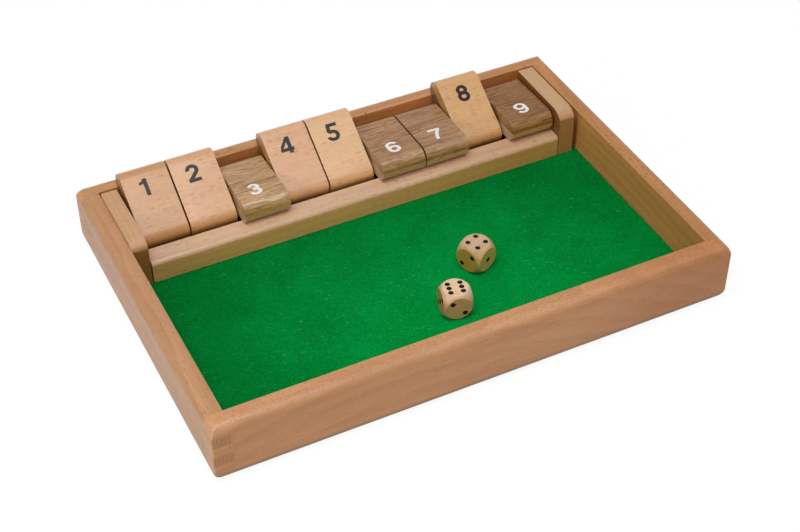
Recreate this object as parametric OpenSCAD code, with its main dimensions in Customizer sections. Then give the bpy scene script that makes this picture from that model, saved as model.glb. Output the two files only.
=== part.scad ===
// Shut the box game: a shallow wooden tray with a felt floor, a row of numbered tiles
// that flip over on one rod, and two dice.
// X runs along the row of tiles, Y to the back, Z up. The origin is the middle of the underside.

/* [Number tiles] */
// Number of tiles in the row
tile_count = 9; // [1:1:12]
// Width of one tile along the row
tile_w = 31; // [24:0.1:36]
// Thickness of one tile, its two layers together
tile_t = 15.2; // [11:0.1:17]
// Reach of a tile's long end from the rod
tile_head = 31.3; // [27:0.1:38]
// Reach of a tile's short end from the rod
tile_tail = 21.5; // [16:0.1:26]
// Thickness of the beech layer of a tile
beech_t = 7.6; // [6:0.1:9]
// Gap between two tiles
tile_gap = 1; // [0.2:0.1:2]
// Play between the left cheek and the first tile
row_play_left = 2.1; // [0.3:0.1:4]
// Play between the last tile and the right cheek
row_play_right = 1.4; // [0.3:0.1:4]
// Numbers of the tiles that lie shut
shut_tiles = [3, 6, 7, 9]; // [1:1:9]
// Slope of a shut tile, rising to the front
shut_slope = 2.3; // [0:0.1:6]

/* [Rod] */
// Diameter of the rod that the tiles turn on
rod_d = 5; // [3:0.5:8]
// Radial play of a tile on the rod
rod_play = 0.05; // [0.02:0.01:0.1]
// Depth of the rod's seat in each cheek
rod_seat = 7; // [3:0.5:9]

/* [Cheeks and rail] */
// Thickness of the left cheek
left_cheek_t = 10.4; // [9.5:0.1:14]
// Thickness of the right cheek
right_cheek_t = 11.3; // [9.5:0.1:14]
// Wood of a cheek above the rod's axis
cheek_top = 11.2; // [8:0.1:16]
// Wood of a cheek behind the rod's axis
cheek_back = 19.7; // [10:0.1:23]
// Radius of a cheek's front top corner
cheek_round = 11.3; // [8:0.1:14]
// Height that the rounded corner drops before it meets the flat front
cheek_brow = 5.5; // [3:0.1:7]
// Thickness of the rail, front to back
rail_t = 14.3; // [10:0.1:18]
// Radius of the rail's front top edge
rail_ease = 3; // [1:0.1:5]
// Gap between the rail and the left cheek
rail_gap_left = 0.8; // [0.2:0.1:2]
// Gap between the rail and the right cheek
rail_gap_right = 0.3; // [0.2:0.1:2]

/* [Swing room] */
// Gap between the rail and the tiles' short ends as they pass
rail_clear = 2; // [1:0.1:4]
// Gap between the back board and the tiles' short ends as they pass
wall_clear = 4; // [2:0.1:6]
// Gap between the felt and the tiles' short ends as they pass
floor_clear = 0.8; // [0.5:0.1:2]
// Gap left where a tile leans on the rail or the back board
rest_gap = 0.05; // [0.02:0.01:0.1]

/* [Tray] */
// Depth of the rolling floor in front of the rail
roll_d = 146.7; // [100:0.1:180]
// Gap between the right cheek and the right board
insert_gap = 3.8; // [0.5:0.1:6]
// Height of the boards
tray_h = 42; // [38:0.5:46]
// Thickness of the boards
board_t = 12; // [10:0.1:15]
// Radius of the outer top and bottom edges
edge_r = 6; // [2:0.1:7]
// Radius of the upright corners
corner_r = 1; // [0.5:0.1:3]
// Height of one finger of the corner joints
finger_h = 7.2; // [5:0.1:9]
// Number of fingers at each end of a side board
side_finger_count = 2; // [1:1:2]

/* [Floor] */
// Height of the panel's underside above the table
panel_lift = 8; // [6:0.1:10]
// Thickness of the panel
panel_t = 3.2; // [2.5:0.1:5]
// Depth of the groove that holds the panel
groove_depth = 4; // [2:0.1:6]
// Gap between the panel's edges and the bottom of the groove
panel_play = 0.5; // [0.2:0.1:1]
// Thickness of the felt
felt_t = 0.8; // [0.6:0.1:2]
// Gap between the felt's edges and the boards
felt_margin = 0.3; // [0.1:0.1:1]

/* [Dice] */
// Width of a die across its flat faces
die_w = 18.5; // [14:0.1:22]
// Diameter of the ball that rounds off a die's corners
die_ball = 24.6; // [23:0.1:26]
// Diameter of a pip
pip_d = 3.3; // [2:0.1:3.5]
// Depth of a pip
pip_depth = 0.5; // [0.3:0.1:1]
// Distance of the outer pips from the middle of a face
pip_reach = 3.9; // [3:0.1:4.5]
// Place of the far die: from the middle of the tray, and from the front board
far_die_at = [39.5, 73]; // [-90:0.5:90]
// Angle of the far die about the vertical
far_die_angle = 23; // [-45:1:45]
// Values on the far die's top, left and front
far_die_faces = [4, 2, 1]; // [1:1:6]
// Place of the near die: from the middle of the tray, and from the front board
near_die_at = [8, 42]; // [-90:0.5:90]
// Angle of the near die about the vertical
near_die_angle = -12; // [-45:1:45]
// Values on the near die's top, left and front
near_die_faces = [6, 3, 2]; // [1:1:6]

/* [Hidden] */
$fn = 64;
// Overshoot of a cutting shape beyond the surface that it cuts
over = 1;

// Row and insert, from left to right
tile_pitch = tile_w + tile_gap;
row_w = tile_count * tile_pitch - tile_gap;
clear_w = row_play_left + row_w + row_play_right;
insert_w = left_cheek_t + clear_w + right_cheek_t;
inner_w = insert_w + insert_gap;
tray_w = inner_w + 2 * board_t;
left_cheek_x = -inner_w / 2;
clear_x = left_cheek_x + left_cheek_t;
right_cheek_x = clear_x + clear_w;
row_x = clear_x + row_play_left;

// Depths, from front to back
channel_d = rail_clear + 2 * tile_tail + wall_clear;
inner_d = roll_d + rail_t + channel_d;
tray_d = inner_d + 2 * board_t;
rail_y = -inner_d / 2 + roll_d;
axle_y = rail_y + rail_t + rail_clear + tile_tail;
wall_y = inner_d / 2;
cheek_d = axle_y + cheek_back - rail_y;

// Heights
panel_top = panel_lift + panel_t;
felt_top = panel_top + felt_t;
axle_z = felt_top + floor_clear + tile_tail;
cheek_h = axle_z + cheek_top - felt_top;

// Shape of a tile about the rod
tile_bore_d = rod_d + 2 * rod_play;
tile_straight = tile_head - tile_t / 2;
lean_t = tile_t / 2 + rest_gap;

// An up tile leans on the back board's inner top edge. This is the angle at the rod between the
// tile's mid-line and an edge at distance reach, which meets the tile's flat side or its round end.
function lean(reach) =
    reach * cos(asin(lean_t / reach)) <= tile_straight
        ? asin(lean_t / reach)
        : acos((pow(reach, 2) + pow(tile_straight, 2) - pow(lean_t, 2)) / (2 * reach * tile_straight));

wall_edge = [wall_y - axle_y, tray_h - axle_z];
up_angle = atan2(wall_edge[1], wall_edge[0]) + lean(norm(wall_edge));

// A shut tile lies on the rail's back top edge. This is how far below the rod's axis that edge is
// at distance reach in front of it, under the tile's flat side or its round end.
function drop(reach) =
    let (flat = (lean_t - reach * sin(shut_slope)) / cos(shut_slope))
    reach * cos(shut_slope) - flat * sin(shut_slope) <= tile_straight
        ? flat
        : sqrt(pow(lean_t, 2) - pow(reach - tile_straight * cos(shut_slope), 2))
            - tile_straight * sin(shut_slope);

shut_angle = 180 - shut_slope;
rail_top = axle_z - drop(tile_tail + rail_clear);
rail_h = rail_top - felt_top;

function tile_x(n) = row_x + (n - 1) * tile_pitch;
function is_shut(n) = len([for (s = shut_tiles) if (s == n) s]) > 0;

// Outline with rounded corners, centred on X, standing on Y = 0
module rounded_outline(w, h, r) {
    translate([-w / 2 + r, 0]) square([w - 2 * r, h]);
    translate([-w / 2, r]) square([w, h - 2 * r]);
    for (x = [-w / 2 + r, w / 2 - r], y = [r, h - r])
        translate([x, y]) circle(r);
}

// Lays a Y-Z outline along X, from x on
module along_x(x, length) {
    translate([x, 0, 0]) rotate([90, 0, 90]) linear_extrude(length) children();
}

// Whole tray as one block with all its outer edges rounded
module tray_block() {
    intersection() {
        along_x(-tray_w / 2, tray_w) rounded_outline(tray_d, tray_h, edge_r);
        rotate([90, 0, 0]) translate([0, 0, -tray_d / 2])
            linear_extrude(tray_d) rounded_outline(tray_w, tray_h, edge_r);
        translate([0, -tray_d / 2, 0])
            linear_extrude(tray_h) rounded_outline(tray_w, tray_d, corner_r);
    }
}

// Room for the floor panel, cut into the boards as a groove
module panel_room() {
    translate([-inner_w / 2 - groove_depth, -inner_d / 2 - groove_depth, panel_lift])
        cube([inner_w + 2 * groove_depth, inner_d + 2 * groove_depth, panel_t]);
}

// Blocks at the four corners for the side boards' fingers. Counted from the top, every second
// finger is a side board's, and the long boards keep all that is left below.
module side_fingers() {
    for (i = [1:side_finger_count], x = [-tray_w / 2, tray_w / 2 - board_t])
        for (y = [-tray_d / 2, tray_d / 2 - board_t])
            translate([x, y, tray_h - 2 * i * finger_h]) cube([board_t, board_t, finger_h]);
}

// Board that runs along X, at the front or the back
module long_board(y) {
    difference() {
        intersection() {
            tray_block();
            translate([-tray_w / 2, y, 0]) cube([tray_w, board_t, tray_h]);
        }
        side_fingers();
        panel_room();
    }
}

// Board that runs along Y, at the left or the right
module short_board(x) {
    difference() {
        intersection() {
            tray_block();
            union() {
                translate([x, -inner_d / 2, 0]) cube([board_t, inner_d, tray_h]);
                intersection() {
                    side_fingers();
                    translate([x, -tray_d / 2, 0]) cube([board_t, tray_d, tray_h]);
                }
            }
        }
        panel_room();
    }
}

module front_board() { color("#C8916B") long_board(-tray_d / 2); }
module back_board() { color("#C8916B") long_board(wall_y); }
module left_board() { color("#CD9A74") short_board(-tray_w / 2); }
module right_board() { color("#CD9A74") short_board(tray_w / 2 - board_t); }

module base_panel() {
    reach = groove_depth - panel_play;
    color("#D9B98C")
        translate([-inner_w / 2 - reach, -inner_d / 2 - reach, panel_lift])
            cube([inner_w + 2 * reach, inner_d + 2 * reach, panel_t]);
}

module felt() {
    color("#0B7A33")
        translate([-inner_w / 2 + felt_margin, -inner_d / 2 + felt_margin, panel_top])
            cube([inner_w - 2 * felt_margin, inner_d - 2 * felt_margin, felt_t]);
}

// Side outline of a cheek, from its front bottom corner: square at the back, rounded at the front top
module cheek_outline() {
    run = sqrt(pow(cheek_round, 2) - pow(cheek_round - cheek_brow, 2));
    square([cheek_d, cheek_h - cheek_round]);
    translate([run, 0]) square([cheek_d - run, cheek_h]);
    intersection() {
        square([run + over, cheek_h + over]);
        translate([run, cheek_h - cheek_round]) circle(cheek_round);
    }
}

// Cheek of thickness t from x on, whose rod seat starts at seat_x and is rod_seat deep
module cheek(x, t, seat_x) {
    color("#CFA27A")
        difference() {
            translate([0, rail_y, felt_top]) along_x(x, t) cheek_outline();
            translate([seat_x, axle_y, axle_z]) rotate([0, 90, 0]) cylinder(d = rod_d, h = rod_seat);
        }
}

module left_cheek() { cheek(left_cheek_x, left_cheek_t, clear_x - rod_seat); }
module right_cheek() { cheek(right_cheek_x, right_cheek_t, right_cheek_x); }

module front_rail() {
    color("#CFA27A")
        translate([0, rail_y, felt_top])
            along_x(clear_x + rail_gap_left, clear_w - rail_gap_left - rail_gap_right) {
                square([rail_t, rail_h - rail_ease]);
                translate([rail_ease, 0]) square([rail_t - rail_ease, rail_h]);
                translate([rail_ease, rail_h - rail_ease]) circle(rail_ease);
            }
}

module axle_rod() {
    color("#B8B8BC")
        translate([clear_x - rod_seat, axle_y, axle_z])
            rotate([0, 90, 0]) cylinder(d = rod_d, h = clear_w + 2 * rod_seat);
}

// Side outline of a whole tile about the rod, with both ends fully round
module tile_outline() {
    end = tile_t / 2;
    difference() {
        union() {
            translate([-tile_tail + end, -end]) square([tile_head + tile_tail - tile_t, tile_t]);
            translate([-tile_tail + end, 0]) circle(end);
            translate([tile_head - end, 0]) circle(end);
        }
        circle(d = tile_bore_d);
    }
}

// One layer of tile n, from height low to height high of the tile's outline
module tile_layer(n, low, high) {
    translate([0, axle_y, axle_z])
        rotate([is_shut(n) ? shut_angle : up_angle, 0, 0])
            along_x(tile_x(n), tile_w)
                intersection() {
                    tile_outline();
                    translate([-tile_tail - over, low])
                        square([tile_head + tile_tail + 2 * over, high - low]);
                }
}

module tile_beech(n) { color("#DDB08A") tile_layer(n, tile_t / 2 - beech_t, tile_t / 2); }
module tile_walnut(n) { color("#8A674A") tile_layer(n, -tile_t / 2, tile_t / 2 - beech_t); }

// Places of the pips on a face of the given value, in steps of pip_reach
function pips(value) = concat(
    value % 2 == 1 ? [[0, 0]] : [],
    value > 1 ? [[-1, 1], [1, -1]] : [],
    value > 3 ? [[-1, -1], [1, 1]] : [],
    value == 6 ? [[-1, 0], [1, 0]] : []);

// Cuts the pips of one value into the face at the top of a die that is centred on the origin
module pip_cuts(value) {
    bowl = (pow(pip_d / 2, 2) + pow(pip_depth, 2)) / (2 * pip_depth);
    for (p = pips(value))
        translate([p[0] * pip_reach, p[1] * pip_reach, die_w / 2 - pip_depth + bowl]) sphere(bowl);
}

// Die with the given values on its top, left and front; opposite faces add up to seven
module die(at, angle, faces) {
    color("#E3C4A0")
        translate([at[0], at[1] - inner_d / 2, felt_top + die_w / 2])
            rotate([0, 0, angle])
                difference() {
                    intersection() {
                        cube(die_w, center = true);
                        sphere(d = die_ball);
                    }
                    pip_cuts(faces[0]);
                    rotate([180, 0, 0]) pip_cuts(7 - faces[0]);
                    rotate([90, 0, -90]) rotate(90) pip_cuts(faces[1]);
                    rotate([90, 0, 90]) rotate(90) pip_cuts(7 - faces[1]);
                    rotate([90, 0, 0]) pip_cuts(faces[2]);
                    rotate([-90, 0, 0]) pip_cuts(7 - faces[2]);
                }
}

module far_die() { die(far_die_at, far_die_angle, far_die_faces); }
module near_die() { die(near_die_at, near_die_angle, near_die_faces); }

front_board();
back_board();
left_board();
right_board();
base_panel();
felt();
left_cheek();
right_cheek();
front_rail();
axle_rod();
for (n = [1:tile_count]) {
    tile_beech(n);
    tile_walnut(n);
}
far_die();
near_die();
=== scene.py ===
"""A shut the box game: a beech tray with a felt floor, nine flip tiles on a rod and two dice."""

import math

import bmesh
import bpy
from mathutils import Matrix, Vector


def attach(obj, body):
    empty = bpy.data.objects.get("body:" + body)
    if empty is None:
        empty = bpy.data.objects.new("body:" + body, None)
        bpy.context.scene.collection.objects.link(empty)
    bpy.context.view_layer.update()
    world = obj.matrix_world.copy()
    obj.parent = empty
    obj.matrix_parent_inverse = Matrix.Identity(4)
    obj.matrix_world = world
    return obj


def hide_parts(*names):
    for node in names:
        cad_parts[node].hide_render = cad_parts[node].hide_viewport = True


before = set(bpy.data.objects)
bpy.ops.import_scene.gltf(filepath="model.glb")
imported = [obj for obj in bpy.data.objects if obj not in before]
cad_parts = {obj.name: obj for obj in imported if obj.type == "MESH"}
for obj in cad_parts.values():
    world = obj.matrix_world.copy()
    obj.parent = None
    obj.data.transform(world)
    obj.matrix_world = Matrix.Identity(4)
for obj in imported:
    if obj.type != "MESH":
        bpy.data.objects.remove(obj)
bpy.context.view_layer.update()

MM = 0.001

# Sizes of the game, in millimetres
TRAY_HALF_LENGTH = 170.0
TRAY_HALF_WIDTH = 117.0
TRAY_HEIGHT = 42.0
BOARD = 12.0
INNER_X = TRAY_HALF_LENGTH - BOARD
INNER_Y = TRAY_HALF_WIDTH - BOARD
EDGE_RADIUS = 6.0
TIP_ROUNDNESS = 1.1
RIM_EASING = 0.5
INSERT_EASING = 0.4
FINGER = 7.2
FINGER_MIDDLE = 24.0
FELT_TOP = 12.0
FELT_HALF = (157.7, 104.7)
FELT_THICKNESS = 0.8
AXLE = (79.5, 34.3)
ROD_CLEARANCE = 4.0
FIRST_TILE = -145.5
TILE_PITCH = 32.0
TILE_WIDTH = 31.0
TILE_HEAD = 31.3
LAYER = 7.6
SHUT_TILES = (3, 6, 7, 9)
UP_ANGLE = math.radians(32.9635)
SHUT_ANGLE = math.radians(177.7)
DICE = {"far_die": ((39.5, -32.0, 21.25), 23.0), "near_die": ((8.0, -63.0, 21.25), -12.0)}
DIE_HALF = 9.25
DIE_BALL = 12.3

# The numerals: the film of ink, and how wide, bold and far over each is stamped
INK_FILM = 0.06
INK_PROUD = 0.01
NUMERAL_WIDENING = 1.16
NUMERAL_SET_LEFT = 2.3
NUMERAL_DRIFT = 0.32
NUMERAL_NUDGE = {3: -0.9, 5: 0.6, 7: -0.5, 9: -0.9}
NUMERAL_FROM_HEAD = {"beech": 15.7, "walnut": 15.4}
NIB_WIDTH = {"beech": 2.25, "walnut": 2.0}

# Ways that a face can look, each an axis in the frame of the game
FRONT = (0, -1, 0)
LEFT = (-1, 0, 0)
UP = (0, 0, 1)
DOWN = (0, 0, -1)
FRONT_BEVEL = (0, -0.7, 0.7)
BACK_BEVEL = (0, 0.7, 0.7)
RIGHT_BEVEL = (0.7, 0, 0.7)
LEFT_BEVEL = (-0.7, 0, 0.7)

# The room, in metres, watts and degrees
FLOOR_HALF = 12.0
BACKDROP_HEIGHT = 3.2
FLOOR_GAP = 0.0002
ROOM_LIGHT = 0.36
WHITE = (1.0, 1.0, 1.0, 1.0)
PAPER = (0.8, 0.8, 0.8, 1.0)
FLOOR_GLOW = 1.06
FLOOR_GLOW_SHARE = 0.86
CAMERA_BEARING = 26.575
CAMERA_DOWN = 41.577
CAMERA_DISTANCE = 1.00498
CAMERA_AIM = (-0.00373, -0.01212, 0.012)
CAMERA_LENS = 72.142
LAMPS = {
    "overhead soft box": dict(place=(-0.35, -0.3, 1.6), width=1.2, depth=1.0, power=16.4),
    "left soft box": dict(place=(-1.55, -0.55, 0.7), width=0.6, depth=0.4, power=5.8),
}


# ---------------------------------------------------------------- finishes


# How squarely a face looks along the grain to show end grain, from the first trace to all of it
END_GRAIN = (0.62, 0.86)
# Levels, in millimetres, between which the painted shadow along the foot of the boards comes in: a dark line
# for the shade under the rounded foot
FOOT_SHADOW_LEVELS = (7.5, 3.5)
FOOT_SHADOW_TINT = (0.42, 0.48, 0.52)
# A painted highlight: the eased inner rim is tinted paler and greyer than the faces beside it, as where it
# catches the light
RIM_HIGHLIGHT_TINT = (1.5, 1.9, 2.1)
JOINT_GLUE = (110, 72, 44)
# How deep the grain can be felt through the lacquer, in millimetres
BEECH_RELIEF = 0.05
WALNUT_RELIEF = 0.06


class Link:
    """One changing value of a finish; plain arithmetic on it adds the nodes that work it out."""

    def __init__(self, finish, socket):
        self.finish = finish
        self.socket = socket

    def __add__(self, other):
        return self.finish.maths("ADD", self, other)

    __radd__ = __add__

    def __sub__(self, other):
        return self.finish.maths("SUBTRACT", self, other)

    def __rsub__(self, other):
        return self.finish.maths("SUBTRACT", other, self)

    def __mul__(self, other):
        return self.finish.maths("MULTIPLY", self, other)

    __rmul__ = __mul__

    def __truediv__(self, other):
        return self.finish.maths("DIVIDE", self, other)

    def __rtruediv__(self, other):
        return self.finish.maths("DIVIDE", other, self)

    def __pow__(self, other):
        return self.finish.maths("POWER", self, other)

    def __abs__(self):
        return self.finish.maths("ABSOLUTE", self)


class Finish:
    """A material while it is put together, node by node."""

    def __init__(self, name):
        self.material = bpy.data.materials.new(name)
        self.material.use_nodes = True
        self.nodes = self.material.node_tree.nodes
        self.links = self.material.node_tree.links
        self.nodes.clear()

    def node(self, kind, settings, inputs, output=0):
        """Adds a node, sets it up, feeds its sockets with values or links, and returns one output."""
        made = self.nodes.new(kind)
        for name, value in settings.items():
            setattr(made, name, value)
        for name, value in inputs.items():
            socket = made.inputs[name]
            if isinstance(value, Link):
                self.links.new(value.socket, socket)
            else:
                socket.default_value = value
        return Link(self, made.outputs[output]) if made.outputs else None

    def maths(self, operation, *values):
        inputs = dict(enumerate(values))
        return self.node("ShaderNodeMath", {"operation": operation}, inputs)

    def vectors(self, operation, *values):
        inputs = dict(enumerate(values))
        return self.node("ShaderNodeVectorMath", {"operation": operation}, inputs, "Vector")

    def stretched(self, place, sizes):
        """The same place with each axis measured in its own unit, so that a pattern is that long."""
        return self.vectors("DIVIDE", place, sizes)

    def split(self, vector):
        return [self.node("ShaderNodeSeparateXYZ", {}, {"Vector": vector}, axis) for axis in "XYZ"]

    def ramp(self, value, low, high):
        """0 below low and 1 above high, with soft ends; high may be the lower of the two."""
        inputs = {"Value": value, "From Min": low, "From Max": high}
        settings = {"interpolation_type": "SMOOTHSTEP", "clamp": True}
        return self.node("ShaderNodeMapRange", settings, inputs)

    def noise(self, place, sizes, detail=2.0, roughness=0.5):
        """Soft noise from 0 to 1 around 0.5, sizes millimetres long, wide and deep."""
        inputs = {"Vector": self.stretched(place, sizes), "Scale": 1.0}
        inputs.update({"Detail": detail, "Roughness": roughness})
        return self.node("ShaderNodeTexNoise", {}, inputs, "Fac")

    def cells(self, place, sizes, output):
        """Scattered cells, sizes millimetres apart: the distance to a cell's heart or its own shade."""
        inputs = {"Vector": self.stretched(place, sizes), "Scale": 1.0}
        return self.node("ShaderNodeTexVoronoi", {"feature": "F1"}, inputs, output)

    def mix(self, factor, first, second, blend="MIX"):
        """A colour between two, or the second laid over the first in another way."""
        inputs = {"Factor": factor, 6: first, 7: second}
        settings = {"data_type": "RGBA", "blend_type": blend, "clamp_factor": True}
        return self.node("ShaderNodeMix", settings, inputs, 2)

    def tint(self, share, base, change):
        """A colour with a tint laid over it in a share from 0 to 1."""
        return self.mix(share, base, self.mix(1.0, base, (*change, 1.0), "MULTIPLY"))

    def place(self, origin=(0, 0, 0), turn=(0, 0, 0)):
        """Where a point of the piece is, in millimetres from an origin and along turned axes."""
        point = self.node("ShaderNodeTexCoord", {}, {}, "Object")
        scaled = self.vectors("MULTIPLY", point, (1000.0, 1000.0, 1000.0))
        inputs = {"Vector": scaled, "Location": origin, "Rotation": turn}
        return self.node("ShaderNodeMapping", {"vector_type": "TEXTURE"}, inputs)

    def towards(self, axis):
        """How squarely a face looks along an axis: 1 towards its end, -1 away from it."""
        normal = self.node("ShaderNodeTexCoord", {}, {}, "Normal")
        settings = {"operation": "DOT_PRODUCT"}
        return self.node("ShaderNodeVectorMath", settings, {0: normal, 1: axis}, "Value")

    def bump(self, height, distance, strength=1.0):
        inputs = {"Height": height, "Distance": distance * MM, "Strength": strength}
        return self.node("ShaderNodeBump", {}, inputs, "Normal")

    def surface(self, inputs):
        """Closes the material with one surface shader and returns it."""
        shader = self.node("ShaderNodeBsdfPrincipled", {}, inputs, "BSDF")
        self.node("ShaderNodeOutputMaterial", {}, {"Surface": shader})
        return self.material


def shade(red, green, blue):
    """A colour as mixed on a screen, 0 to 255, as the light it gives back."""
    parts = []
    for part in (red, green, blue):
        part = part / 255
        parts.append(part / 12.92 if part <= 0.04045 else ((part + 0.055) / 1.055) ** 2.4)
    return tuple(parts)


def colour(red, green, blue):
    return (*shade(red, green, blue), 1.0)


def near_and_far(tone, spread):
    """The paler and the darker wood about one tone; the darker is also the warmer."""
    light = shade(*tone)
    pale = tuple(part * (1 + spread * gain) for part, gain in zip(light, (1.0, 1.15, 1.3)))
    dark = tuple(part * (1 - spread * gain) for part, gain in zip(light, (1.0, 1.2, 1.45)))
    return (*pale, 1.0), (*dark, 1.0)


def joint_line(finish):
    """1 on the thin glue lines where the fingers of two boards meet, 0 elsewhere."""
    x, y, z = finish.split(finish.place())
    out_x = abs(x)
    out_y = abs(y)
    corner = finish.ramp(out_x, INNER_X - 0.3, INNER_X) * finish.ramp(out_y, INNER_Y - 0.3, INNER_Y)
    from_middle = abs(abs(z - FINGER_MIDDLE) - FINGER)
    side_finger = finish.ramp(from_middle, FINGER / 2 + 0.1, FINGER / 2 - 0.1)
    level = finish.ramp(abs(from_middle - FINGER / 2), 0.3, 0.05)
    end_x = finish.ramp(abs(out_x - INNER_X), 0.3, 0.05) * side_finger
    end_y = finish.ramp(abs(out_y - INNER_Y), 0.3, 0.05) * (1 - side_finger)
    return corner * finish.maths("MAXIMUM", level, finish.maths("MAXIMUM", end_x, end_y))


def beech(name, tone, spread=0.13, origin=(0, 0, 0), turn=(0, 0, 0), grain=(1, 0, 0), pith=(-95, -20),
          arch=0.0, peak=0.0, ring=7.0, ring_depth=0.5, fleck=(5.0, 0.8, 5.0), fleck_depth=0.6,
          fleck_share=0.5, fleck_faces=(), end_tint=(0.75, 0.72, 0.69), end_spread=0.1, end_ring=2.2,
          joint_depth=0.0, faces=(), fade=None, mottle=None, gloss=0.4, coat=0.0, foot_shadow=None):
    """Lacquered beech. Its grain runs along the turned X axis and its rings lie about a pith, which
    sags by arch. Flecks are little ribbons, so long along the grain, across it and deep. Faces that
    look along an axis are tinted, from how squarely they look there: painted light and shade, a face
    made lighter or darker by which way it looks. A fade tints one end, a mottle is small patches on
    the faces that look along an axis, and a foot shadow is a painted shadow that darkens the lowest
    few millimetres."""
    finish = Finish(name)
    pale, dark = near_and_far(tone, spread)
    place = finish.place(origin, turn)
    x, y, z = finish.split(place)
    wander = (finish.noise(place, (90, 18, 18), 2.0) - 0.5) * 8.0
    along = x - peak
    rise = z - pith[1] + along * along * arch + wander
    deep = y - pith[0]
    reach = (rise * rise + deep * deep) ** 0.5
    uneven = (finish.noise(place, (400, 30, 30), 0.0) - 0.5) * 1.6
    season = finish.maths("FRACT", reach / ring + uneven)
    late_wood = finish.ramp(season, 0.1, 0.9) * finish.ramp(season, 1.0, 0.9)
    broad = finish.noise(place, (70, 11, 11), 2.0)
    fibre = finish.noise(place, (18, 0.8, 0.8), 3.0, 0.6)
    fine = finish.noise(place, (4, 0.4, 0.4), 2.0, 0.6)
    wood = (late_wood - 0.4) * ring_depth + (broad - 0.5) * 0.9 + (fibre - 0.5) * 1.3 + (fine - 0.5) * 0.8
    base = finish.mix(finish.ramp(wood, -0.6, 0.6), pale, dark)
    if mottle:
        axis, size, changes = mottle
        patch = finish.ramp(finish.noise(place, size, 2.0, 0.6), 0.4, 0.62)
        tinted = [finish.tint(1.0, base, change) for change in changes]
        looks_there = finish.ramp(finish.towards(axis), 0.86, 0.99)
        base = finish.mix(looks_there, base, finish.mix(patch, *tinted))

    mark = fleck_marks(finish, place, fleck, fleck_share)
    mark = mark * (finish.ramp(finish.noise(place, (40, 10, 10), 1.0), 0.3, 0.7) * 0.6 + 0.4)
    for axis, size, share in fleck_faces:
        looks_there = finish.ramp(finish.towards(axis), 0.5, 0.9)
        mark = mark * (1 - looks_there) + fleck_marks(finish, place, size, share) * looks_there
    fleck_colour = tuple(part * share for part, share in zip(dark, (0.55, 0.42, 0.3))) + (1.0,)
    base = finish.mix(mark * fleck_depth, base, fleck_colour)
    # Painted light and shade: each face is tinted by which way it looks, as the light falls on it
    for axis, change, start in faces:
        looks_there = finish.ramp(finish.towards(axis), start, min(start + 0.45, 1.0))
        base = finish.tint(looks_there, base, change)
    if fade:
        start, full, change = fade
        base = finish.tint(finish.ramp(x, start, full), base, change)

    end = finish.ramp(abs(finish.towards(grain)), *END_GRAIN)
    end_season = finish.maths("FRACT", (y + wander * 0.3) / end_ring)
    rays = finish.noise(place, (3, 0.8, 5), 2.0, 0.6)
    end_tone = (finish.ramp(end_season, 0.1, 0.8) - 0.5) * 0.5 + (rays - 0.5) * 1.5
    end_pale, end_dark = near_and_far(tone, end_spread)
    end_wood = finish.mix(finish.ramp(end_tone, -0.6, 0.6), end_pale, end_dark)
    base = finish.mix(end, base, finish.tint(1.0, end_wood, end_tint))
    # A painted shadow: the lowest few millimetres of the outer faces are darkened where the rounded foot is
    # in shade
    if foot_shadow:
        low = finish.ramp(z, *FOOT_SHADOW_LEVELS) * finish.ramp(finish.towards(DOWN), 0.99, 0.86)
        base = finish.tint(low, base, foot_shadow)
    if joint_depth:
        base = finish.mix(joint_line(finish) * joint_depth, base, colour(*JOINT_GLUE))

    height = (fine - 0.5) * 0.6 + (fibre - 0.5) * 0.5 - mark * 0.8 + (rays - 0.5) * end
    return finish.surface({
        "Base Color": base,
        "Roughness": (broad - 0.5) * 0.12 + mark * 0.12 + end * 0.12 + gloss,
        "Normal": finish.bump(height, BEECH_RELIEF, 0.6),
        "Coat Weight": coat,
        "Coat Roughness": 0.22,
    })


def fleck_marks(finish, place, size, share):
    """Little dark ribbons, one in a share of the cells of a size, of two lengths: 1 in a ribbon."""
    marks = None
    for scale, channel in ((1.0, 0), (0.55, 1)):
        cell = tuple(part * scale for part in size)
        far = finish.cells(place, cell, "Distance")
        kind = finish.split(finish.cells(place, cell, "Color"))[channel]
        marked = finish.ramp(far, 0.42, 0.22) * finish.ramp(kind, 1 - share, 1 - share * 0.3)
        marks = marked if marks is None else finish.maths("MAXIMUM", marks, marked * 0.7)
    return marks


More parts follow.
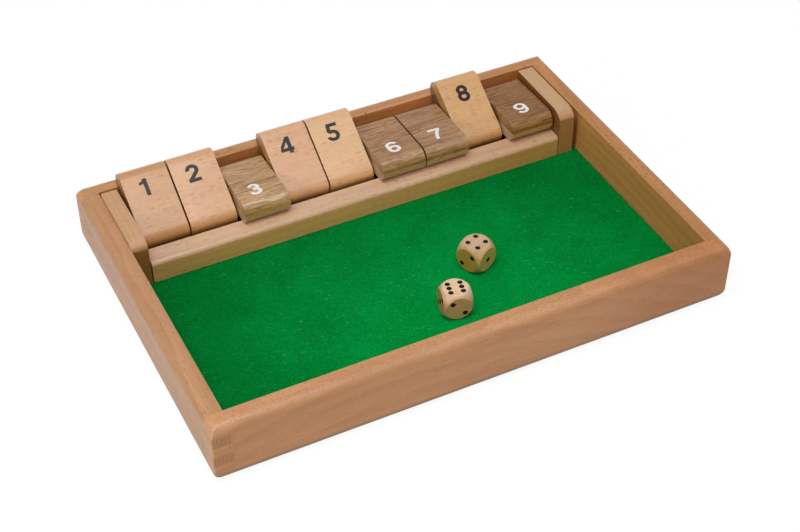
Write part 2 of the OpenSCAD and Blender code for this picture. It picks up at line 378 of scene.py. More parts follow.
def walnut(name, tone, origin, turn, end_tint, spread=0.34):
    """Lacquered open-grained dark wood: long streaks of two browns and long narrow pores, with painted shade
    on its front faces and a painted highlight at the bend.
    """
    finish = Finish(name)
    pale, dark = near_and_far(tone, spread)
    place = finish.place(origin, turn)
    warp = (finish.noise(place, (26, 9, 9), 1.0) - 0.5) * 7.0
    shift = finish.node("ShaderNodeCombineXYZ", {}, {"Y": warp, "Z": warp * 0.4})
    place = finish.vectors("ADD", place, shift)
    broad = finish.noise(place, (50, 7, 7), 1.0)
    band = finish.noise(place, (30, 1.6, 1.6), 2.0, 0.55)
    fibre = finish.noise(place, (13, 0.65, 0.65), 2.0, 0.6)
    wood = (broad - 0.5) * 1.0 + (band - 0.5) * 1.8 + (fibre - 0.5) * 2.6
    base = finish.mix(finish.ramp(wood, -0.8, 0.8), pale, dark)
    streak = finish.ramp(finish.noise(place, (34, 0.9, 0.9), 1.0), 0.57, 0.7)
    mark = finish.maths("MAXIMUM", streak, fleck_marks(finish, place, (7.0, 0.9, 0.9), 0.5))
    pore_colour = tuple(part * share for part, share in zip(dark, (0.5, 0.42, 0.32))) + (1.0,)
    base = finish.mix(mark * 0.7, base, pore_colour)
    # Painted shade: faces looking to the front are darker and yellower; then a painted highlight, a paler
    # band where the round end bends over
    front = finish.ramp(finish.towards(FRONT), 0.45, 0.95)
    base = finish.tint(front, base, (0.95, 0.88, 0.5))
    bend = finish.ramp(finish.towards((0, -0.6, 0.8)), 0.91, 1.0)
    base = finish.tint(bend, base, (1.1, 1.26, 1.56))
    end = finish.ramp(abs(finish.towards(LEFT)), *END_GRAIN)
    base = finish.tint(end, base, end_tint)
    height = (fibre - 0.5) * 0.5 - mark
    return finish.surface({
        "Base Color": base,
        "Roughness": (broad - 0.5) * 0.1 + mark * 0.2 + 0.34,
        "Normal": finish.bump(height, WALNUT_RELIEF, 0.8),
        "Coat Weight": 0.6,
        "Coat Roughness": 0.2,
    })


def felt_cloth():
    """Green felt: a dense mat of fine curled fibres, paler where they stand up, with painted shade darkening
    it towards the walls and painted light making its middle paler.
    """
    finish = Finish("green felt")
    place = finish.place()
    cloud = finish.noise(place, (24, 24, 24), 3.0, 0.6)
    tuft = finish.noise(place, (1.7, 1.7, 1.7), 3.0, 0.7)
    bend = (finish.noise(place, (3, 3, 3), 1.0) - 0.5) * 4.0
    shift = finish.node("ShaderNodeCombineXYZ", {}, {"X": bend, "Y": bend * -0.8})
    curled = finish.vectors("ADD", place, shift)
    long_hair = finish.noise(curled, (4.5, 0.6, 1.0), 1.0, 0.6)
    cross_hair = finish.noise(curled, (0.6, 4.5, 1.0), 1.0, 0.6)
    hair = finish.maths("MAXIMUM", long_hair, cross_hair)
    tone = (cloud - 0.5) * 1.1 + (tuft - 0.5) * 1.8 + (hair - 0.58) * 1.4
    base = finish.mix(finish.ramp(tone, -0.9, 0.9), colour(0, 106, 34), colour(0, 148, 66))
    base = finish.mix(finish.ramp(hair, 0.68, 0.84) * 0.5, base, colour(60, 184, 110))
    speck = fleck_marks(finish, curled, (3.2, 1.1, 3.0), 0.06)
    base = finish.mix(speck * 0.35, base, colour(70, 190, 116))
    # Painted shade and light: the felt is darker towards the walls and paler in its middle, by how far a
    # point lies from a spot near the front middle
    x, y, z = finish.split(finish.place((10.0, -80.0, 0.0)))
    from_middle = (x * x * 0.5 + y * y) ** 0.5
    worn = finish.ramp(from_middle, 150.0, 10.0)
    painted_wall_shade = finish.mix(worn, (0.7, 0.8, 0.72, 1.0), (0.88, 1.24, 1.28, 1.0))
    base = finish.mix(1.0, base, painted_wall_shade, "MULTIPLY")
    height = (tuft - 0.5) + (hair - 0.5) * 0.8
    return finish.surface({
        "Base Color": base,
        "Roughness": 0.95,
        "Specular IOR Level": 0.03,
        "Normal": finish.bump(height, 0.35, 0.7),
    })


def plywood():
    """Bare birch ply: a rotary-cut face with long watery figure and pin flecks."""
    finish = Finish("birch ply")
    place = finish.place()
    x, y, z = finish.split(place)
    warp = (finish.noise(place, (120, 34, 34), 2.0) - 0.5) * 34.0
    figure = finish.maths("SINE", (y + warp) * 0.42) * 0.5 + 0.5
    fibre = finish.noise(place, (30, 0.8, 0.8), 3.0, 0.6)
    tone = figure * 0.5 + (fibre - 0.5) * 0.9
    base = finish.mix(finish.ramp(tone, -0.3, 0.9), colour(224, 199, 158), colour(203, 170, 122))
    pin = finish.ramp(finish.cells(place, (5, 0.7, 0.7), "Distance"), 0.3, 0.12)
    base = finish.mix(pin * 0.4, base, colour(150, 108, 66))
    return finish.surface({
        "Base Color": base,
        "Roughness": (fibre - 0.5) * 0.2 + 0.68,
        "Normal": finish.bump(fibre - pin * 0.5, 0.08, 0.6),
    })


def drawn_steel():
    """A drawn steel rod: bright, with fine scratches along it."""
    finish = Finish("drawn steel")
    place = finish.place()
    scratch = finish.noise(place, (40, 0.12, 0.12), 2.0, 0.6)
    cloud = finish.noise(place, (14, 5, 5), 2.0)
    base = finish.mix(cloud, colour(196, 197, 200), colour(170, 171, 174))
    return finish.surface({
        "Base Color": base,
        "Metallic": 1.0,
        "Roughness": (scratch - 0.5) * 0.3 + 0.34,
        "Normal": finish.bump(scratch, 0.01, 0.4),
    })


def printed(name, ink, worn, origin, turn, wear):
    """A stamped numeral: flat ink that the grain shows through in thin specks."""
    finish = Finish(name)
    place = finish.place(origin, turn)
    speck = finish.noise(place, (2.4, 0.5, 0.5), 2.0, 0.7)
    cloud = finish.noise(place, (4, 4, 4), 2.0)
    thin = finish.ramp(speck + (cloud - 0.5) * 0.5, 0.56, 0.76) * wear
    base = finish.mix(thin, ink, worn)
    return finish.surface({
        "Base Color": base,
        "Roughness": thin * 0.1 + 0.5,
        "Normal": finish.bump(speck, 0.02, 0.5),
    })


def die_wood(name, centre, degrees, tones, faces):
    """Polished pale hardwood of a die: faint bands and fine fibres, with painted light and shade tinting its
    side faces by which way they look.
    """
    finish = Finish(name)
    angle = math.radians(degrees)
    place = finish.place(centre, (0, 0, angle))
    band = finish.noise(place, (20, 2.2, 2.2), 2.0, 0.5)
    fibre = finish.noise(place, (8, 0.35, 0.35), 2.0, 0.6)
    tone = (band - 0.5) * 1.1 + (fibre - 0.5) * 0.8
    base = finish.mix(finish.ramp(tone, -0.5, 0.6), colour(*tones[0]), colour(*tones[1]))
    # Painted light and shade: each side face tinted by which way it looks
    for axis, change in faces:
        looks_there = finish.ramp(finish.towards(axis), 0.4, 0.95)
        base = finish.tint(looks_there, base, change)
    return finish.surface({
        "Base Color": base,
        "Roughness": (band - 0.5) * 0.1 + 0.38,
        "Normal": finish.bump(fibre, 0.02, 0.5),
    })


def pip_paint():
    """Black paint in the pips, with the wood's fibres just showing in its gloss."""
    finish = Finish("pip black")
    place = finish.place()
    cloud = finish.noise(place, (1.2, 1.2, 1.2), 2.0)
    base = finish.mix(cloud, colour(12, 8, 7), colour(44, 28, 24))
    return finish.surface({
        "Base Color": base,
        "Roughness": cloud * 0.2 + 0.4,
        "Specular IOR Level": 0.2,
        "Normal": finish.bump(cloud, 0.02, 0.4),
    })


# ---------------------------------------------------------------- pieces


def finished(name, mesh, body, materials, smooth_below=35.0):
    """Turns a mesh being worked on into a piece that belongs to a body, and gives it its finish."""
    smooth_limit = math.radians(smooth_below)
    for edge in mesh.edges:
        edge.smooth = len(edge.link_faces) == 2 and edge.calc_face_angle() < smooth_limit
    for face in mesh.faces:
        face.smooth = True
    data = bpy.data.meshes.new(name)
    mesh.to_mesh(data)
    mesh.free()
    piece = bpy.data.objects.new(name, data)
    bpy.context.scene.collection.objects.link(piece)
    for material in materials:
        data.materials.append(material)
    even = piece.modifiers.new("flat faces stay flat", "WEIGHTED_NORMAL")
    even.keep_sharp = True
    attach(piece, body)
    return piece


def joined_copy(node):
    """A workable copy of a solid, with its loose triangles joined into whole faces."""
    mesh = bmesh.new()
    mesh.from_mesh(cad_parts[node].data)
    bmesh.ops.remove_doubles(mesh, verts=mesh.verts, dist=0.002 * MM)
    bmesh.ops.dissolve_limit(mesh, angle_limit=math.radians(0.5), verts=mesh.verts, edges=mesh.edges)
    return mesh


def eased(node, width, wanted):
    """A copy of a solid with the wanted ones of its sharp edges taken off."""
    mesh = joined_copy(node)
    sharp = []
    for edge in mesh.edges:
        if len(edge.link_faces) != 2 or edge.calc_face_angle() < math.radians(40):
            continue
        first, second = (Vector(vert.co) / MM for vert in edge.verts)
        if wanted(first, second):
            sharp.append(edge)
    bmesh.ops.bevel(
        mesh, geom=sharp, offset=width * MM, affect="EDGES", segments=2, profile=0.5, material=-1
    )
    return mesh


def inner_rim(first, second):
    """The edges round the inside of the tray's mouth."""
    for point in (first, second):
        inside = abs(point.x) < INNER_X + 0.01 and abs(point.y) < INNER_Y + 0.01
        if not inside or point.z < TRAY_HEIGHT - 0.01:
            return False
    return True


def blunt_tips(mesh, side_y, sides):
    """Wears the tips at some ends of a long board round, where two rounded edges meet."""
    for side_x in sides:
        for end in (-1, 1):
            for turn in (22.5, 45.0, 67.5):
                bearing = math.radians(turn)
                across = Vector((side_x * math.cos(bearing), side_y * math.sin(bearing)))
                radius = EDGE_RADIUS * TIP_ROUNDNESS * (abs(across.x) + abs(across.y))
                reach = TRAY_HALF_LENGTH * abs(across.x) + TRAY_HALF_WIDTH * abs(across.y) - radius
                level = TRAY_HEIGHT / 2 + end * (TRAY_HEIGHT / 2 - radius)
                centre = Vector((across.x * reach, across.y * reach, level))
                for slope in (15.0, 30.0, 45.0, 60.0, 75.0):
                    flat, rise = math.cos(math.radians(slope)), math.sin(math.radians(slope))
                    outward = Vector((across.x * flat, across.y * flat, end * rise))
                    plane_off(mesh, centre + outward * radius, outward)


def plane_off(mesh, point, outward):
    """Planes away what stands outside a flat cut, and closes the cut."""
    cut = bmesh.ops.bisect_plane(
        mesh, geom=[*mesh.verts, *mesh.edges, *mesh.faces], dist=0.001 * MM, plane_co=point * MM,
        plane_no=outward, clear_outer=True,
    )["geom_cut"]
    edges = [part for part in cut if isinstance(part, bmesh.types.BMEdge)]
    if edges:
        bmesh.ops.holes_fill(mesh, edges=edges, sides=0)


def off_the_rod(first, second):
    """Every edge but those of a hole for the rod."""
    axle = Vector(AXLE)
    return any((point.yz - axle).length > ROD_CLEARANCE for point in (first, second))


def tile_angle(number):
    return SHUT_ANGLE if number in SHUT_TILES else UP_ANGLE


def tile_left(number):
    return FIRST_TILE + TILE_PITCH * (number - 1)


def in_tile(point, number):
    """How far a point is along and above a tile's glue line, measured from the rod."""
    angle = tile_angle(number)
    back = point.y - AXLE[0]
    up = point.z - AXLE[1]
    along = back * math.cos(angle) + up * math.sin(angle)
    above = -back * math.sin(angle) + up * math.cos(angle)
    return along, above


def make_boards():
    """The four boards of the tray, each from its own plank."""
    quarter = math.pi / 2
    # The face tints are painted light and shade: the front and left outer faces darker and yellower, the
    # inner faces of the back and right boards yellowed as by light bounced from the felt, the front roundover
    # paler as a painted highlight
    looks = {
        "front_board": dict(
            tone=(203, 149, 108), pith=(-80, -60), arch=0.00124, peak=-40.0, ring=11.0, ring_depth=0.25,
            fleck=(3.0, 4.0, 0.7), fleck_depth=0.36, fleck_faces=[(UP, (1.4, 2.6, 2.0), 0.7)],
            end_tint=(1.0, 0.98, 0.95),
            faces=[
                (FRONT, (0.92, 0.83, 0.62), 0.55), (FRONT_BEVEL, (1.0, 1.05, 1.14), 0.75),
                (BACK_BEVEL, RIM_HIGHLIGHT_TINT, 0.8),
            ],
            fade=(40.0, 150.0, (0.88, 0.76, 0.6)),
            mottle=(UP, (2.2, 1.8, 2.0), ((1.03, 1.06, 0.9), (0.99, 0.9, 0.96))),
        ),
        "back_board": dict(
            tone=(203, 147, 100), pith=(150, -40), arch=0.0004, peak=60.0, ring=6.0, ring_depth=0.4,
            fleck=(3.0, 5.0, 0.7), end_tint=(1.0, 0.98, 0.95),
            fade=(120.0, 150.0, (1.04, 0.98, 0.88)),
            faces=[(FRONT, (1.13, 0.9, 0.64), 0.85), (FRONT_BEVEL, RIM_HIGHLIGHT_TINT, 0.8)],
        ),
        "left_board": dict(
            tone=(191, 141, 102), turn=(0, 0, quarter), grain=(0, 1, 0), pith=(210, -60), arch=0.0002,
            peak=30.0, ring=5.0, ring_depth=0.4, fleck=(5.0, 0.8, 1.4),
            fade=(20.0, -110.0, (1.04, 1.08, 1.04)),
            faces=[(LEFT, (0.88, 0.78, 0.58), 0.5), (RIGHT_BEVEL, RIM_HIGHLIGHT_TINT, 0.8)],
            end_tint=(0.86, 0.73, 0.56), end_spread=0.12,
        ),
        "right_board": dict(
            tone=(188, 131, 82), turn=(0, 0, quarter), grain=(0, 1, 0), pith=(-220, -50), arch=0.0003,
            peak=-20.0, ring=5.5, ring_depth=0.4, end_tint=(0.98, 0.88, 0.82), end_spread=0.05,
            faces=[(LEFT, (1.04, 1.04, 0.82), 0.85), (LEFT_BEVEL, RIM_HIGHLIGHT_TINT, 0.8)],
            fleck=(2.2, 4.0, 0.8), fleck_share=0.7, fade=(-60.0, 90.0, (1.12, 1.12, 1.18)),
        ),
    }
    for node, look in looks.items():
        mesh = eased(node, RIM_EASING, inner_rim)
        if node == "front_board":
            blunt_tips(mesh, -1, (-1, 1))
        if node == "back_board":
            blunt_tips(mesh, 1, (-1,))
        name = node.replace("_", " ") + " beech"
        material = beech(name, joint_depth=0.12, foot_shadow=FOOT_SHADOW_TINT, **look)
        piece = finished(node + "_eased", mesh, "tray", [material])
        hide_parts(node)


def make_cheeks_and_rail():
    """The two cheeks that hold the rod, and the rail that the shut tiles lie on."""
    quarter = math.pi / 2
    # Painted shade: the cheeks' end-grain fronts are tinted dark and yellow, beyond their end grain, as
    # shaded faces; the right cheek's left face is darkened as the shade in its gap beside tile 9; the cheeks'
    # rounded front tops a little darker; the rail's front yellowed as painted shade and light bounced from
    # the felt
    looks = {
        "left_cheek": dict(
            tone=(204, 159, 119), spread=0.08, turn=(0, 0, quarter), grain=(0, 1, 0), pith=(90, 0), ring=3.0,
            origin=(7, 3, 11), ring_depth=0.2, fleck_depth=0.35, end_tint=(0.62, 0.44, 0.22),
            end_spread=0.06, end_ring=1.6, faces=[(FRONT_BEVEL, (0.94, 0.88, 0.92), 0.75)],
        ),
        "right_cheek": dict(
            tone=(205, 164, 123), spread=0.08, turn=(0, 0, quarter), grain=(0, 1, 0), pith=(-90, 0), ring=3.0,
            origin=(-9, 31, 4), ring_depth=0.2, fleck_depth=0.35, end_tint=(0.82, 0.63, 0.35),
            end_spread=0.08, end_ring=1.6,
            faces=[(LEFT, (0.34, 0.23, 0.1), 0.5), (FRONT_BEVEL, (0.92, 0.86, 0.86), 0.75)],
        ),
        "front_rail": dict(
            tone=(217, 177, 144), spread=0.1, pith=(100, -70), arch=0.0001, peak=30.0, ring=4.5,
            ring_depth=0.3, fleck=(6.0, 1.6, 0.8), fleck_share=0.4,
            faces=[(FRONT, (1.18, 0.95, 0.53), 0.92)], fade=(20.0, 130.0, (0.88, 0.84, 0.74)),
            gloss=0.34, coat=0.5,
        ),
    }
    for node, look in looks.items():
        mesh = eased(node, INSERT_EASING, off_the_rod)
        material = beech(node.replace("_", " ") + " beech", **look)
        piece = finished(node + "_eased", mesh, "tray", [material])
        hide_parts(node)


def make_felt():
    """The felt, glued down on the panel: one thin mat with a softly uneven face."""
    mesh = bmesh.new()
    bmesh.ops.create_grid(mesh, x_segments=1, y_segments=1, size=1.0)
    bmesh.ops.scale(mesh, vec=(FELT_HALF[0] * MM, FELT_HALF[1] * MM, 1.0), verts=mesh.verts)
    bmesh.ops.translate(mesh, vec=(0, 0, FELT_TOP * MM), verts=mesh.verts)
    bmesh.ops.solidify(mesh, geom=mesh.faces[:], thickness=FELT_THICKNESS * MM)
    bmesh.ops.recalc_face_normals(mesh, faces=mesh.faces)
    piece = finished("felt_mat", mesh, "tray", [felt_cloth()])
    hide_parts("felt")


# The beech and the dark half of each tile
TILE_TONES = {
    1: ((206, 154, 107), (160, 122, 90)),
    2: ((221, 170, 128), (160, 122, 90)),
    3: ((218, 174, 138), (194, 153, 111)),
    4: ((225, 175, 136), (160, 122, 90)),
    5: ((231, 185, 141), (160, 122, 90)),
    6: ((218, 174, 138), (176, 132, 93)),
    7: ((218, 174, 138), (169, 127, 90)),
    8: ((222, 172, 119), (160, 122, 90)),
    9: ((216, 170, 132), (151, 103, 55)),
}

# Tints of the sides, for the beech and the dark half: end grain, darker, and painted shade, darker and
# yellower on the standing tiles than on the shut ones
SIDE_GRAIN_AND_SHADE_TINTS = {
    "shut": ((0.7, 0.8, 0.82), (0.74, 0.74, 0.62)),
    "up": ((0.68, 0.6, 0.42), (0.52, 0.52, 0.4)),
}


def make_tile(number):
    """One flip tile: a beech half and a dark half, glued back to back."""
    angle = tile_angle(number)
    left = tile_left(number)
    origin = (left - 57.0 * number, AXLE[0], AXLE[1])
    beech_tone, dark_tone = TILE_TONES[number]

    def free_edge(first, second):
        if not off_the_rod(first, second):
            return False
        return any(abs(in_tile(point, number)[1]) > 0.02 for point in (first, second))

    # Painted shade: the shut tiles' round front ends are tinted darker and olive, the standing tiles' fronts
    # and lower round ends darker and yellower, as where less light falls
    if number in SHUT_TILES:
        ends = SIDE_GRAIN_AND_SHADE_TINTS["shut"]
        faces = [(FRONT, (0.78, 0.84, 0.46), 0.6)]
    else:
        ends = SIDE_GRAIN_AND_SHADE_TINTS["up"]
        faces = [(FRONT, (0.98, 0.86, 0.62), 0.6), ((0, -0.4, -0.9), (0.72, 0.66, 0.46), 0.15)]
    body = f"tile_{number}"
    node = f"{body}_beech"
    material = beech(
        f"tile {number} beech", beech_tone, spread=0.07, origin=origin, turn=(angle, 0, 0),
        pith=(20.0 - 9.0 * number, -60.0 - 3.0 * number), ring=5.0, ring_depth=0.3,
        arch=0.0008, peak=57.0 * number + 16.0, fleck=(6.5, 0.95, 6.5), fleck_share=0.6,
        end_tint=ends[0], gloss=0.36, coat=0.5, faces=faces,
    )
    piece = finished(f"{node}_half", eased(node, INSERT_EASING, free_edge), body, [material])
    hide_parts(node)

    node = f"{body}_walnut"
    material = walnut(f"tile {number} walnut", dark_tone, origin, (angle, 0, 0), ends[1])
    piece = finished(f"{node}_half", eased(node, INSERT_EASING, free_edge), body, [material])
    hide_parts(node)


class Nib:
    """A broad flat nib that lays one even stroke on a sheet, in millimetres and degrees."""

    def __init__(self, width, start, heading):
        self.mesh = bmesh.new()
        self.at = Vector((*start, 0.0))
        self.heading = math.radians(heading)
        ends = [self.mesh.verts.new(self.at + self.left() * side) for side in (width / 2, -width / 2)]
        self.edge = self.mesh.edges.new(ends)

    def left(self):
        return Vector((-math.sin(self.heading), math.cos(self.heading), 0.0))

    def ahead(self):
        return Vector((math.cos(self.heading), math.sin(self.heading), 0.0))

    def line(self, length):
        made = bmesh.ops.extrude_edge_only(self.mesh, edges=[self.edge])["geom"]
        verts = [part for part in made if isinstance(part, bmesh.types.BMVert)]
        edges = [part for part in made if isinstance(part, bmesh.types.BMEdge)]
        bmesh.ops.translate(self.mesh, vec=self.ahead() * length, verts=verts)
        self.edge = next(edge for edge in edges if set(edge.verts) == set(verts))
        self.at += self.ahead() * length
        return self

    def arc(self, radius, degrees):
        """Turns left for a positive angle and right for a negative one."""
        angle = math.radians(degrees)
        centre = self.at + self.left() * math.copysign(radius, degrees)
        steps = max(2, round(abs(degrees) / 7.5))
        made = bmesh.ops.spin(
            self.mesh, geom=[*self.edge.verts, self.edge], cent=centre, axis=(0, 0, 1),
            angle=angle, steps=steps, use_duplicate=False,
        )["geom_last"]
        self.edge = [part for part in made if isinstance(part, bmesh.types.BMEdge)][0]
        self.at = centre + Matrix.Rotation(angle, 3, "Z") @ (self.at - centre)
        self.heading += angle
        return self

    def trim(self, point, outward):
        """Cuts the stroke off square along a line."""
        geom = [*self.mesh.verts, *self.mesh.edges, *self.mesh.faces]
        bmesh.ops.bisect_plane(
            self.mesh, geom=geom, plane_co=(*point, 0.0), plane_no=(*outward, 0.0), clear_outer=True
        )
        return self


def strokes_of(digit, width):
    """The strokes of one numeral, 11.6 high about its middle and drawn a little too narrow."""
    if digit == 1:
        return [
            Nib(width, (1.1, -5.8), 90).line(11.6),
            Nib(1.7, (-2.4, 2.75), 4).arc(3.8, 56).line(0.6).trim((1.1, 0), (1, 0)),
        ]
    if digit == 2:
        bow = Nib(width, (-2.6, 1.9), 96).arc(2.6, -222).arc(12.0, -6).line(5.8)
        return [bow.trim((0, -4.85), (0, -1)), Nib(width, (-3.6, -4.85), 0).line(7.2)]
    if digit == 3:
        return [
            Nib(width, (-2.2, 2.95), 76).arc(2.25, -256).line(0.9),
            Nib(width, (-0.9, 0.35), 0).line(0.9).arc(2.6, -262),
        ]
    if digit == 4:
        slope = Nib(1.9, (-4.9, -3.7), 56).line(12.6)
        slope.trim((0, 5.8), (0, 1)).trim((1.45, 0), (1, 0))
        slope.trim((0, -3.0), (0, -1)).trim((-3.8, 0), (-1, 0))
        return [
            Nib(width, (1.5, -5.8), 90).line(11.6),
            Nib(width, (-4.3, -3.0), 0).line(8.0),
            slope,
        ]
    if digit == 5:
        return [
            Nib(width, (-2.3, 4.85), 0).line(5.6),
            Nib(width, (-1.8, 5.8), -97).line(5.5),
            Nib(width, (-2.6, -0.5), 44).arc(2.8, -302),
        ]
    if digit == 6:
        return [
            Nib(width, (0.0, -4.85), 0).arc(2.75, 180).arc(2.75, 180),
            Nib(width, (2.5, 3.1), 112).arc(2.75, 158).line(4.2),
        ]
    if digit == 7:
        return [
            Nib(width, (-3.6, 4.85), 0).line(7.3),
            Nib(width, (3.1, 5.0), -127).arc(22.0, 30).trim((0, -5.8), (0, -1)),
        ]
    if digit == 8:
        # The lower ring starts half a step on, so that no edges of the two rings fall together
        return [
            Nib(2.3, (0.0, 0.15), 0).arc(2.35, 180).arc(2.35, 180),
            Nib(2.3, (0.1733, -4.8443), 3.75).arc(2.65, 180).arc(2.65, 180),
        ]
    return strokes_of(6, width)


def make_numeral(number, side):
    """The numeral on one face of a tile, a film of ink just proud of the wood."""
    angle = tile_angle(number)
    dark_side = side == "walnut"
    whole = None
    for stroke in strokes_of(number, NIB_WIDTH[side]):
        sheet = stroke.mesh
        bmesh.ops.remove_doubles(sheet, verts=sheet.verts, dist=0.01)
        bmesh.ops.recalc_face_normals(sheet, faces=sheet.faces)
        bmesh.ops.solidify(sheet, geom=sheet.faces[:], thickness=INK_FILM)
        bmesh.ops.recalc_face_normals(sheet, faces=sheet.faces)
        data = bpy.data.meshes.new("stroke")
        sheet.to_mesh(data)
        sheet.free()
        part = bpy.data.objects.new("stroke", data)
        bpy.context.scene.collection.objects.link(part)
        whole = part if whole is None else united(whole, part)
    mesh = bmesh.new()
    mesh.from_mesh(whole.data)
    bpy.data.objects.remove(whole)
    middle = sum((vert.co.z for vert in mesh.verts), 0.0) / len(mesh.verts)
    bmesh.ops.translate(mesh, vec=(0, 0, -middle), verts=mesh.verts)
    bmesh.ops.scale(mesh, vec=(NUMERAL_WIDENING, 1.0, 1.0), verts=mesh.verts)
    if number == 9:
        turned(mesh, math.pi, "Z")
    across = tile_left(number) + TILE_WIDTH / 2 - NUMERAL_SET_LEFT + NUMERAL_DRIFT * (number - 1)
    across += NUMERAL_NUDGE.get(number, 0.0)
    height = LAYER + INK_PROUD
    if dark_side:
        turned(mesh, math.pi, "X")
        height = -height
    along = TILE_HEAD - NUMERAL_FROM_HEAD[side]
    bmesh.ops.translate(mesh, vec=(0, along, height), verts=mesh.verts)
    turned(mesh, angle, "X")
    bmesh.ops.translate(mesh, vec=(across, *AXLE), verts=mesh.verts)
    bmesh.ops.scale(mesh, vec=(MM, MM, MM), verts=mesh.verts)
    bmesh.ops.recalc_face_normals(mesh, faces=mesh.faces)
    if dark_side:
        name, ink, worn, wear = f"white numeral {number}", (240, 237, 236), (190, 165, 140), 0.3
    else:
        name, ink, worn, wear = f"black numeral {number}", (43, 42, 43), (128, 106, 88), 0.25
        if number == 8:
            ink = (26, 22, 20)
    origin = (tile_left(number) * 3.0, *AXLE)
    print_of_digit = printed(name, colour(*ink), colour(*worn), origin, (angle, 0, 0), wear)
    finished(f"numeral_{number}_{side}", mesh, f"tile_{number}", [print_of_digit])


def turned(mesh, angle, axis):
    """Turns a mesh being worked on about an axis through the origin."""
    matrix = Matrix.Rotation(angle, 3, axis)
    bmesh.ops.rotate(mesh, cent=(0, 0, 0), matrix=matrix, verts=mesh.verts)


def united(first, second):
    """Two solid strokes as one, the second gone."""
    join = first.modifiers.new("join", "BOOLEAN")
    join.operation = "UNION"
    join.solver = "EXACT"
    join.object = second
    depsgraph = bpy.context.evaluated_depsgraph_get()
    data = bpy.data.meshes.new_from_object(first.evaluated_get(depsgraph))
    first.modifiers.clear()
    first.data = data
    bpy.data.objects.remove(second)
    return first


# The pale and the dark band of each die's wood, and the tints of its left and its front face: painted shade
# and light, the left faces darker and yellower, the far die's front face painted lighter and the near die's
# darker
DIE_LOOKS = {
    "far_die": dict(
        tones=((217, 185, 152), (192, 154, 119)),
        faces=(((-0.92, -0.39, 0), (0.62, 0.54, 0.13)), ((0.39, -0.92, 0), (1.2, 1.1, 0.5))),
    ),
    "near_die": dict(
        tones=((243, 211, 179), (220, 182, 146)),
        faces=(((-0.98, 0.21, 0), (0.48, 0.35, 0.2)), ((-0.21, -0.98, 0), (0.84, 0.63, 0.44))),
    ),
}


def make_die(name):
    """A die with the paint in its pips."""
    centre, degrees = DICE[name]
    middle = Vector(centre)
    angle = math.radians(degrees)
    mesh = joined_copy(name)
    back = Matrix.Rotation(-angle, 3, "Z")
    for face in mesh.faces:
        spots = [back @ (vert.co / MM - middle) for vert in face.verts]
        spot = sum(spots, Vector()) / len(spots)
        reach = max(abs(part) for part in spot)
        if reach < DIE_HALF - 0.02 and spot.length < DIE_BALL - 0.1:
            face.material_index = 1
    wood = die_wood(name.replace("_", " ") + " wood", centre, degrees, **DIE_LOOKS[name])
    piece = finished(f"{name}_painted", mesh, name, [wood, pip_paint()], 25.0)
    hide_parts(name)


def dress_node(node, material):
    """Gives a solid that stays as it is a better finish."""
    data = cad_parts[node].data
    data.materials.clear()
    data.materials.append(material)


# ---------------------------------------------------------------- the room


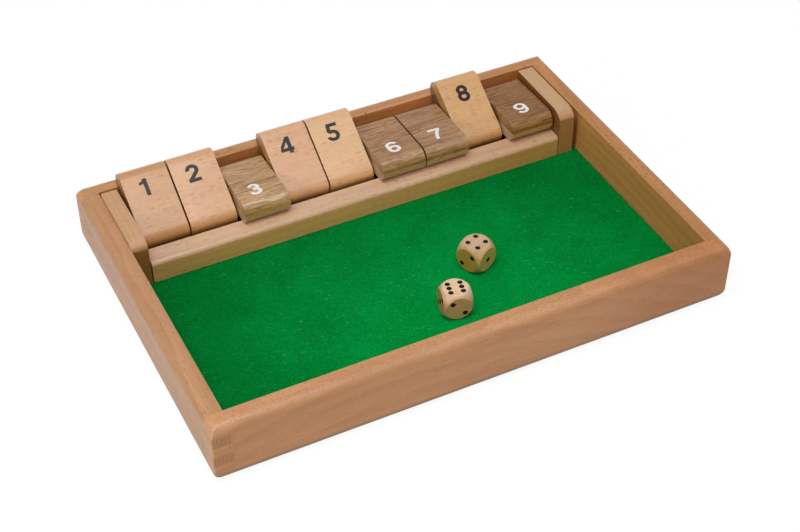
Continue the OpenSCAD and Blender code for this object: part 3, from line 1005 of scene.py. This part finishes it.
def make_floor():
    """A plain white floor with a low white backdrop all round it; it keeps a faint shadow."""
    mesh = bmesh.new()
    bmesh.ops.create_grid(mesh, x_segments=1, y_segments=1, size=FLOOR_HALF)
    wall = bmesh.ops.extrude_edge_only(mesh, edges=mesh.edges[:])["geom"]
    top = [part for part in wall if isinstance(part, bmesh.types.BMVert)]
    bmesh.ops.translate(mesh, vec=(0, 0, BACKDROP_HEIGHT), verts=top)
    data = bpy.data.meshes.new("floor")
    mesh.to_mesh(data)
    mesh.free()
    data.transform(Matrix.Translation((0, 0, -FLOOR_GAP)))
    floor = bpy.data.objects.new("floor", data)
    bpy.context.scene.collection.objects.link(floor)
    finish = Finish("white floor")
    seen = finish.node("ShaderNodeLightPath", {}, {}, "Is Camera Ray")
    for ray in ("Is Glossy Ray", "Is Transmission Ray"):
        seen = finish.maths("MAXIMUM", seen, finish.node("ShaderNodeLightPath", {}, {}, ray))
    paper = finish.node("ShaderNodeBsdfDiffuse", {}, {"Color": PAPER})
    glow = finish.node("ShaderNodeEmission", {}, {"Color": WHITE, "Strength": FLOOR_GLOW})
    both = finish.node("ShaderNodeMixShader", {}, {0: seen * FLOOR_GLOW_SHARE, 1: paper, 2: glow})
    finish.node("ShaderNodeOutputMaterial", {}, {"Surface": both})
    data.materials.append(finish.material)


def make_world():
    """An even white room."""
    world = bpy.data.worlds.new("white room")
    bpy.context.scene.world = world
    world.use_nodes = True
    nodes = world.node_tree.nodes
    nodes.clear()
    room = nodes.new("ShaderNodeBackground")
    room.inputs["Color"].default_value = WHITE
    room.inputs["Strength"].default_value = ROOM_LIGHT
    out = nodes.new("ShaderNodeOutputWorld")
    world.node_tree.links.new(room.outputs["Background"], out.inputs["Surface"])


def make_lamp(name, place, width, depth, power):
    """A soft box light at a place, turned to the middle of the tray."""
    data = bpy.data.lights.new(name, "AREA")
    data.shape = "RECTANGLE"
    data.size = width
    data.size_y = depth
    data.energy = power
    lamp = bpy.data.objects.new(name, data)
    lamp.location = place
    lamp.rotation_euler = (-Vector(place)).to_track_quat("-Z", "Y").to_euler()
    bpy.context.scene.collection.objects.link(lamp)


def make_camera():
    """Looks down on the tray from its front left corner."""
    bearing = math.radians(CAMERA_BEARING)
    down = math.radians(CAMERA_DOWN)
    ahead = Vector((
        math.sin(bearing) * math.cos(down),
        math.cos(bearing) * math.cos(down),
        -math.sin(down),
    ))
    data = bpy.data.cameras.new("camera")
    data.sensor_width = 36.0
    data.lens = CAMERA_LENS
    data.clip_start = 0.05
    data.clip_end = 50.0
    camera = bpy.data.objects.new("camera", data)
    camera.location = Vector(CAMERA_AIM) - ahead * CAMERA_DISTANCE
    camera.rotation_euler = ahead.to_track_quat("-Z", "Y").to_euler()
    bpy.context.scene.collection.objects.link(camera)
    bpy.context.scene.camera = camera


make_camera()
make_boards()
make_cheeks_and_rail()
make_felt()
for tile in range(1, 10):
    make_tile(tile)
    make_numeral(tile, "beech")
    make_numeral(tile, "walnut")
for die in DICE:
    make_die(die)
dress_node("base_panel", plywood())
dress_node("axle_rod", drawn_steel())

make_floor()
make_world()
for name, lamp in LAMPS.items():
    make_lamp(name, **lamp)
bpy.context.scene.view_settings.view_transform = "Standard"
